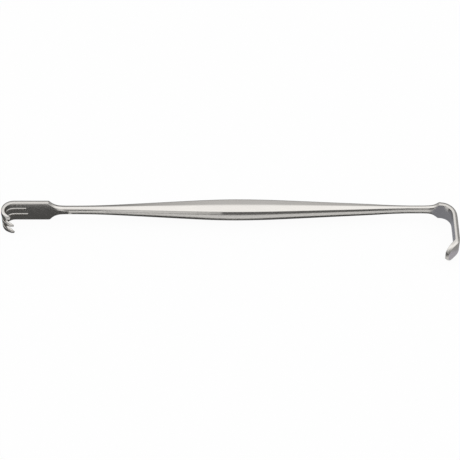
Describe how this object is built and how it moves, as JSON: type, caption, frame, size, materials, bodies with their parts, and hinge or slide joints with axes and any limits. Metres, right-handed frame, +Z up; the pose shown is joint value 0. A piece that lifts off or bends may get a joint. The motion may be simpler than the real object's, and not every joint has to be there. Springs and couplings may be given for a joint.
{
  "type": "double-ended hand retractor",
  "caption": "Slim double-ended hand retractor: a curved sharp-pronged rake at one end and a small right-angle blade at the other, on a faceted spindle handle.",
  "frame": {"origin": "the middle of the outline's box, on the surface that the instrument lies on", "axes": "+X along the handle from the rake to the blade, -Y the way both hooks point, +Z up across the width, with the instrument lying on its side"},
  "size_m": [0.16, 0.0255, 0.0083],
  "materials": {
    "retractor": "forged stainless steel, ground and satin polished along its length"
  },
  "bodies": {
    "root": {"retractor": "retractor"}
  },
  "joints": []
}
